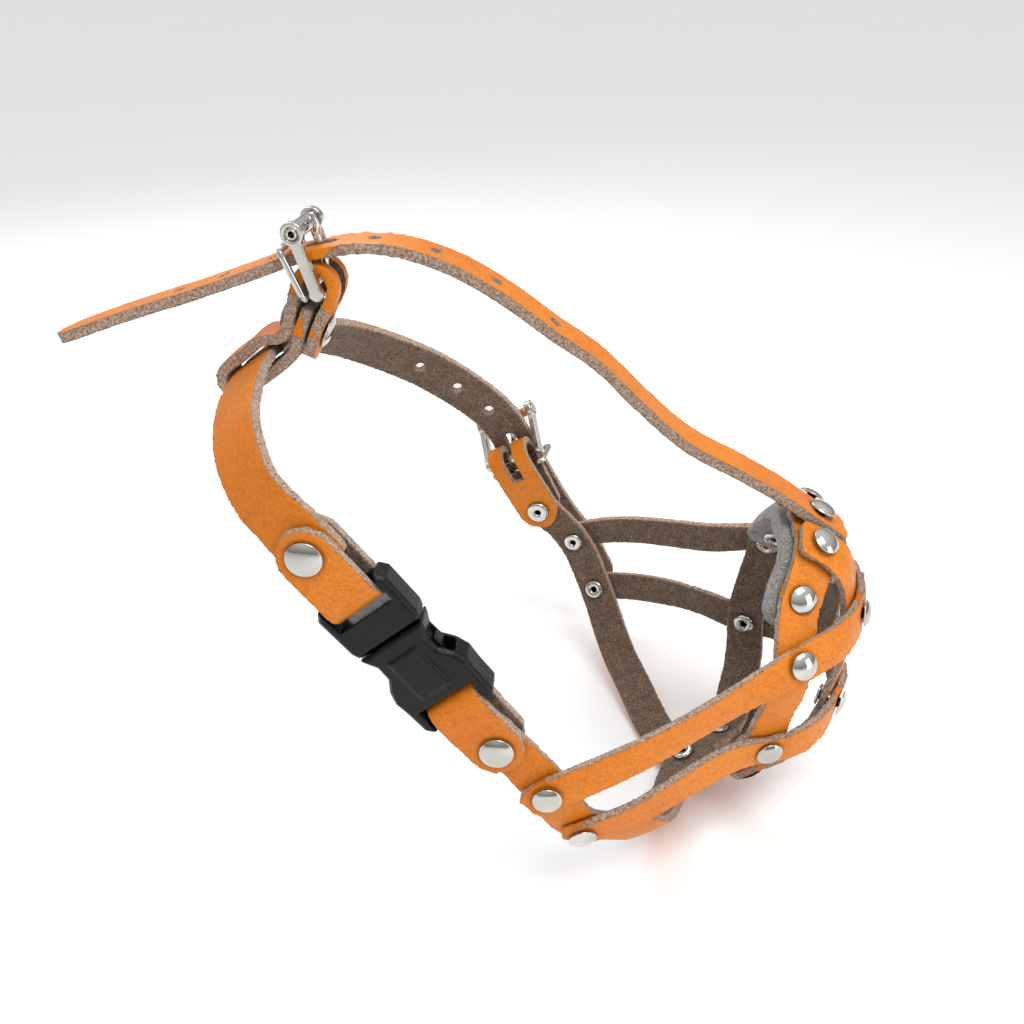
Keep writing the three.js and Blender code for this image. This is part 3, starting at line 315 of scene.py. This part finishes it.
def felt_material():
    t = Tree("grey_felt")
    fibre = t.noise(1300, 5, 0.72)
    clump = t.noise(260, 4, 0.62)
    colour = t.mix(t.band(fibre, 0.34, 0.66), (0.075, 0.074, 0.069), (0.50, 0.475, 0.43))
    colour = t.mix(t.band(clump, 0.45, 0.7, 0, 0.5), colour, (0.20, 0.192, 0.178))
    fleck = t.band(t.noise(2300, 2, 0.5, (1, 1, 0.25)), 0.66, 0.72)
    colour = t.mix(fleck, colour, (0.78, 0.76, 0.71))
    normal = t.bump(fibre, 0.0007, 1.0, t.bump(clump, 0.0012, 0.8))
    t.set(Base_Color=colour, Roughness=1.0, Normal=normal)
    t.put(t.bsdf.inputs["Specular IOR Level"], 0.08)
    t.put(t.bsdf.inputs["Sheen Weight"], 0.5)
    return t.material


def nickel_material():
    t = Tree("nickel_plate")
    drift = t.noise(60, 3, 0.5)
    haze = t.noise(900, 4, 0.6)
    lines = t.noise(700, 2, 0.5, (1, 1, 0.06))
    colour = t.mix(t.band(drift, 0.35, 0.65), (0.46, 0.45, 0.41), (0.64, 0.63, 0.59))
    spots = t.band(t.noise(480, 4, 0.7), 0.66, 0.74, 0, 0.5)
    colour = t.mix(spots, colour, (0.38, 0.34, 0.28))
    # painted shade: the inside of each rivet's hollow post is coloured near black
    colour = t.mix(t.attribute("painted_bore_shade"), colour, (0.012, 0.010, 0.008))
    rough = t.math("ADD", t.band(haze, 0.35, 0.7, 0.07, 0.19), t.math("MULTIPLY", spots, 0.2))
    normal = t.bump(lines, 0.00005, 0.35, t.bump(t.noise(150, 2, 0.5), 0.0003, 0.25))
    t.set(Base_Color=colour, Metallic=1.0, Roughness=rough, Normal=normal)
    return t.material


def plastic_material():
    t = Tree("black_moulding")
    spark = t.cells(3200)
    wear = t.noise(240, 5, 0.7)
    colour = t.mix(t.band(wear, 0.4, 0.7), (0.002, 0.002, 0.0021), (0.006, 0.006, 0.0063))
    dust = t.band(t.noise(1900, 3, 0.7), 0.68, 0.76, 0, 0.35)
    colour = t.mix(dust, colour, (0.06, 0.06, 0.06))
    normal = t.bump(spark, 0.00010, 0.55)
    t.set(Base_Color=colour, Roughness=t.band(wear, 0.35, 0.7, 0.20, 0.34), Normal=normal)
    t.put(t.bsdf.inputs["Specular IOR Level"], 0.26)
    return t.material


LEATHER_LOOK = leather_material()
FELT_LOOK = felt_material()
NICKEL_LOOK = nickel_material()
PLASTIC_LOOK = plastic_material()

# ---------------------------------------------------------------- rivets
# Each is turned afresh about the axis of its CAD solid: a low dome with a rolled rim, and inside the
# basket a rolled eyelet round a hollow post.


def rivet_frame(node):
    """Axis towards the cap, a point on it, and where the cap and the flange end along it."""
    mesh = NODES[node].data
    mesh.calc_loop_triangles()
    co, _ = arrays(mesh)
    tri = np.array([t.vertices[:] for t in mesh.loop_triangles])
    a, b, c = co[tri[:, 0]], co[tri[:, 1]], co[tri[:, 2]]
    area = np.linalg.norm(np.cross(b - a, c - a), axis=1) / 2
    mid = (a + b + c) / 3
    centre = (mid * area[:, None]).sum(0) / area.sum()
    spread_of = np.zeros((3, 3))
    for p in (a, b, c, mid, mid, mid):
        d = p - centre
        spread_of += (d * area[:, None]).T @ d
    values, vectors = np.linalg.eigh(spread_of)
    gaps = [abs(values[0] - values[1]), abs(values[1] - values[2])]
    axis = vectors[:, 2] if gaps[0] < gaps[1] else vectors[:, 0]
    along = (co - centre) @ axis
    radius = np.linalg.norm((co - centre) - np.outer(along, axis), axis=1)
    widest = along[radius > radius.max() * 0.97].mean()
    if widest < 0:
        axis, along = -axis, -along
    return Vector(axis), Vector(centre), along.min(), along.max(), radius.max()


def lathe(name, profile, axis, centre, sides=44):
    side = axis.orthogonal().normalized()
    other = axis.cross(side)
    bm = bmesh.new()
    rings = []
    for r, z in profile:
        if r < 1e-7:
            rings.append([bm.verts.new(centre + axis * z)])
            continue
        ring = []
        for k in range(sides):
            a = 2 * math.pi * k / sides
            ring.append(bm.verts.new(centre + axis * z + (side * math.cos(a) + other * math.sin(a)) * r))
        rings.append(ring)
    for p, q in zip(rings, rings[1:]):
        for k in range(sides):
            n = (k + 1) % sides
            corners = [p[k % len(p)], p[n % len(p)], q[n % len(q)], q[k % len(q)]]
            corners = list(dict.fromkeys(corners))
            if len(corners) > 2:
                bm.faces.new(corners)
    bmesh.ops.recalc_face_normals(bm, faces=bm.faces)
    mesh = bpy.data.meshes.new(name)
    bm.to_mesh(mesh)
    bm.free()
    obj = bpy.data.objects.new(name, mesh)
    bpy.context.scene.collection.objects.link(obj)
    mesh.shade_smooth()
    return obj


RIM_BELOW_TOP = 1.5 * MM
RING_RISE = 0.8 * MM
POST = 0.95 * MM
SHANK = 1.45 * MM
DOME = math.radians(62)

PRESSED = []  # a point, an axis and a radius for each rim that presses into leather
for node in RIVETS:
    axis, centre, low, high, reach = rivet_frame(node)
    inner = reach * 0.86
    rim = high - RIM_BELOW_TOP
    PRESSED.append((centre + axis * rim, axis, reach))
    PRESSED.append((centre + axis * (low + RING_RISE), -axis, inner))
    foot = rim + 0.45 * MM
    cap = [(0.0, high)]
    for k in range(1, 9):
        a = k / 8 * DOME
        rise = (math.cos(a) - math.cos(DOME)) / (1 - math.cos(DOME))
        cap.append((reach * 0.93 * math.sin(a) / math.sin(DOME), foot + (high - foot) * rise))
    cap += [
        (reach * 0.975, rim + 0.36 * MM),
        (reach, rim + 0.20 * MM),
        (reach * 0.985, rim + 0.03 * MM),
        (reach * 0.93, rim),
    ]
    roll = (inner - POST) / 2
    top = low + RING_RISE
    ring = [(SHANK, rim), (SHANK, top), (inner * 0.97, top)]
    for k in range(9):
        a = k / 8 * math.pi
        rise = RING_RISE * math.sin(a) ** 0.8 if 0 < k < 8 else 0.05 * MM
        ring.append((POST + roll + roll * math.cos(a), top - rise))
    ring += [
        (POST * 0.96, top + 0.45 * MM),
        (POST * 0.95, top + 0.6 * MM),
        (POST * 0.9, top + 2.2 * MM),
        (0.0, top + 2.3 * MM),
    ]
    obj = lathe(node + "_turned", cap + ring, axis, centre)
    turned, _ = arrays(obj.data)
    height = (turned - np.array(centre)) @ np.array(axis)
    wide = np.linalg.norm(turned - np.array(centre) - np.outer(height, np.array(axis)), axis=1)
    # Painted shade: the walls and floor of the hollow post are marked to be coloured near black.
    bore_shade_mask = (height > top + 0.5 * MM) & (height < top + 2.5 * MM) & (wide < POST * 0.955)
    write(obj.data, "painted_bore_shade", bore_shade_mask.astype(float))
    obj.data.materials.append(NICKEL_LOOK)
    shown(obj, node)

# ---------------------------------------------------------------- leather


THICKEST = 4.3 * MM  # more than any leather here is thick, less than any strap is wide
FOLD_WITHIN = 9 * MM  # the inside of a fold faces the other leg nearer than this
BASKET_MIDDLE = Vector((0.038, 0, 0.026))
HEAD_MIDDLE = Vector((-0.035, 0, 0.045))


def hits_itself(tree, point, direction, within):
    return tree.ray_cast(point + direction * 1e-5, direction, within)[0] is not None


def face_kinds(node, outward):
    """The kind of each CAD face: a face with leather close behind it is grain or flesh."""
    mesh = NODES[node].data
    tree = BVHTree.FromObject(NODES[node], bpy.context.evaluated_depsgraph_get())
    kinds = []
    for p in mesh.polygons:
        c, n = Vector(p.center), Vector(p.normal)
        if not hits_itself(tree, c, -n, THICKEST):
            kinds.append(CUT)
        else:
            kinds.append(GRAIN if outward(c, n, tree) else FLESH)
    return tree, np.array(kinds)


def away_from_basket(c, n, tree):
    return n.dot(c - BASKET_MIDDLE) > 0


def away_from_head(c, n, tree):
    return n.dot(c - HEAD_MIDDLE) > 0


def outside_fold(c, n, tree):
    return not hits_itself(tree, c, n, FOLD_WITHIN)


def press_at(co, normal):
    """How far each point is pushed in beside the rivets, from 0 to 1; the same value paints shade as a
    dark halo beside the rivet rims.
    """
    press_and_shade = np.zeros(len(co))
    for point, axis, reach in PRESSED:
        d = co - np.array(point)
        along = d @ np.array(axis)
        beside = np.linalg.norm(d - np.outer(along, np.array(axis)), axis=1)
        facing = (normal @ np.array(axis)) > 0.5
        close = (np.abs(along) < 1.6 * MM) & facing
        press_and_shade = np.maximum(press_and_shade, np.where(close, np.exp(-np.maximum(0, beside - reach) / (0.55 * MM)), 0))
    return press_and_shade


def leather_piece(node, outward, voxel):
    """A strap or tab with smoothed faces, crisp cut edges and fuzz where the leather is raw."""
    tree, kinds = face_kinds(node, outward)
    obj = remeshed(node, voxel, node + "_leather")
    mesh = obj.data
    co, _ = arrays(mesh)
    near = [tree.find_nearest(Vector(p)) for p in co]
    kind = kinds[[h[2] for h in near]]
    relax(mesh, kind, 90)
    soften(mesh, 2)
    co, _ = arrays(mesh)
    normal = vertex_normals(mesh)
    cut = (kind == CUT).astype(float)
    press_and_shade = press_at(co, normal)
    fuzz = np.array([noise.noise(Vector(p) * 1900) for p in co])
    rough = np.where(kind == GRAIN, 0.0, 1.0)
    co = co + normal * ((fuzz * rough * 0.085 * MM) - press_and_shade * 0.16 * MM)[:, None]
    set_points(mesh, co)
    write(mesh, "grain", spread(mesh, (kind == GRAIN).astype(float), 1))
    write(mesh, "cut", spread(mesh, cut, 2))
    write(mesh, "rim", np.clip(spread(mesh, cut, 5) * 3, 0, 1))
    # The same value colours the leather darker beside the rivet rims: painted shade.
    write(mesh, "press_and_shade", press_and_shade)
    mesh.materials.append(LEATHER_LOOK)
    mesh.shade_smooth()
    return obj


STRAP_VOXEL = 0.42 * MM
TAB_VOXEL = 0.36 * MM
CROWN_VOXEL = 0.3 * MM

for node in STRAPS:
    shown(leather_piece(node, away_from_basket, STRAP_VOXEL), node)
for node in ["forehead_strap", "neck_strap_left"]:
    shown(leather_piece(node, away_from_head, STRAP_VOXEL), node)
for node in TABS:
    voxel = CROWN_VOXEL if node == "crown_tab" else TAB_VOXEL
    shown(leather_piece(node, outside_fold, voxel), node)

# The near length of the neck strap, from the nape to the clip, is left in place on no body.
near_length = leather_piece("neck_strap_right", away_from_head, STRAP_VOXEL)
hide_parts("neck_strap_right")
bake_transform(near_length)

# ---------------------------------------------------------------- felt pad

pad = remeshed("nose_pad", 0.5 * MM, "nose_pad_felt")
soften(pad.data, 6)
points, _ = arrays(pad.data)
normals = vertex_normals(pad.data)
fuzz = np.array([noise.noise(Vector(p) * 1500) + 0.6 * noise.noise(Vector(p) * 420) for p in points])
set_points(pad.data, points + normals * (fuzz * 0.16 * MM)[:, None])
pad.data.materials.append(FELT_LOOK)
pad.data.shade_smooth()
shown(pad, "nose_pad")

# ---------------------------------------------------------------- buckles and clip

for node in METAL:
    obj = remeshed(node, 0.2 * MM, node + "_plated")
    soften(obj.data, 5)
    obj.data.materials.append(NICKEL_LOOK)
    obj.data.shade_smooth()
    shown(obj, node)
for node in CLIP:
    obj = remeshed(node, 0.24 * MM, node + "_moulded")
    soften(obj.data, 3)
    obj.data.materials.append(PLASTIC_LOOK)
    obj.data.shade_smooth()
    shown(obj, node)

# ---------------------------------------------------------------- floor, light and camera

shown_low, shown_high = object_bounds()
floor_mesh = bpy.data.meshes.new("floor")
bm = bmesh.new()
bmesh.ops.create_grid(bm, x_segments=4, y_segments=4, size=14)
bm.to_mesh(floor_mesh)
bm.free()
floor = bpy.data.objects.new("floor", floor_mesh)
bpy.context.scene.collection.objects.link(floor)
floor.location = (0, 0, min(cad_low.z, shown_low.z) - 0.0004)
paint = Tree("pale_floor")
pale = paint.mix(paint.noise(3), (0.93, 0.93, 0.93), (0.95, 0.95, 0.95))
paint.set(Base_Color=pale, Roughness=0.9)
floor_mesh.materials.append(paint.material)

# The sky is a soft dome, dimmer towards the horizon.
world = bpy.data.worlds.new("studio")
bpy.context.scene.world = world
world.use_nodes = True
sky = world.node_tree
to_sky = sky.nodes.new("ShaderNodeTexCoord")
part_of = sky.nodes.new("ShaderNodeSeparateXYZ")
fade = sky.nodes.new("ShaderNodeMapRange")
sky.links.new(to_sky.outputs["Generated"], part_of.inputs["Vector"])
sky.links.new(part_of.outputs["Z"], fade.inputs["Value"])
for socket, value in (("From Min", 0.05), ("From Max", 0.8), ("To Min", 0.30), ("To Max", 0.95)):
    fade.inputs[socket].default_value = value
sky.nodes["Background"].inputs["Color"].default_value = (1, 1, 1, 1)
sky.links.new(fade.outputs["Result"], sky.nodes["Background"].inputs["Strength"])
bpy.context.scene.view_settings.view_transform = "Standard"


def lamp(name, place, aim, size, power):
    data = bpy.data.lights.new(name, "AREA")
    data.shape = "RECTANGLE"
    data.size, data.size_y = size
    data.energy = power
    obj = bpy.data.objects.new(name, data)
    bpy.context.scene.collection.objects.link(obj)
    obj.location = place
    obj.rotation_mode = "QUATERNION"
    obj.rotation_quaternion = (Vector(aim) - Vector(place)).to_track_quat("-Z", "Y")


lamp("key", (0.25, -0.25, 0.75), (0, 0, 0.05), (0.5, 0.35), 3.2)
lamp("rim", (-0.35, 0.45, 0.55), (0, 0, 0.05), (0.4, 0.3), 2.0)
lamp("front", (0.75, -0.35, 0.2), (0.03, 0, 0.03), (0.3, 0.5), 1.2)

# The camera looks down and a little to the left of the muzzle's side.
pitch, yaw = math.radians(29.601), math.radians(6.3945)
right = Vector((math.cos(yaw), math.sin(yaw), 0))
level = Vector((-math.sin(yaw), math.cos(yaw), 0))
ahead = level * math.cos(pitch) - Vector((0, 0, math.sin(pitch)))
up = right.cross(ahead)

lens = bpy.data.cameras.new("photo_angle")
lens.sensor_width = 36
lens.lens = 34.54
lens.clip_start, lens.clip_end = 0.01, 60
camera = bpy.data.objects.new("photo_angle", lens)
bpy.context.scene.collection.objects.link(camera)
place = Matrix.Identity(4)
for i, axis in enumerate((right, up, -ahead)):
    place.col[i] = (*axis, 0)
place.col[3] = (0.011809, -0.243445, 0.204346, 1)
camera.matrix_world = place
bpy.context.scene.camera = camera
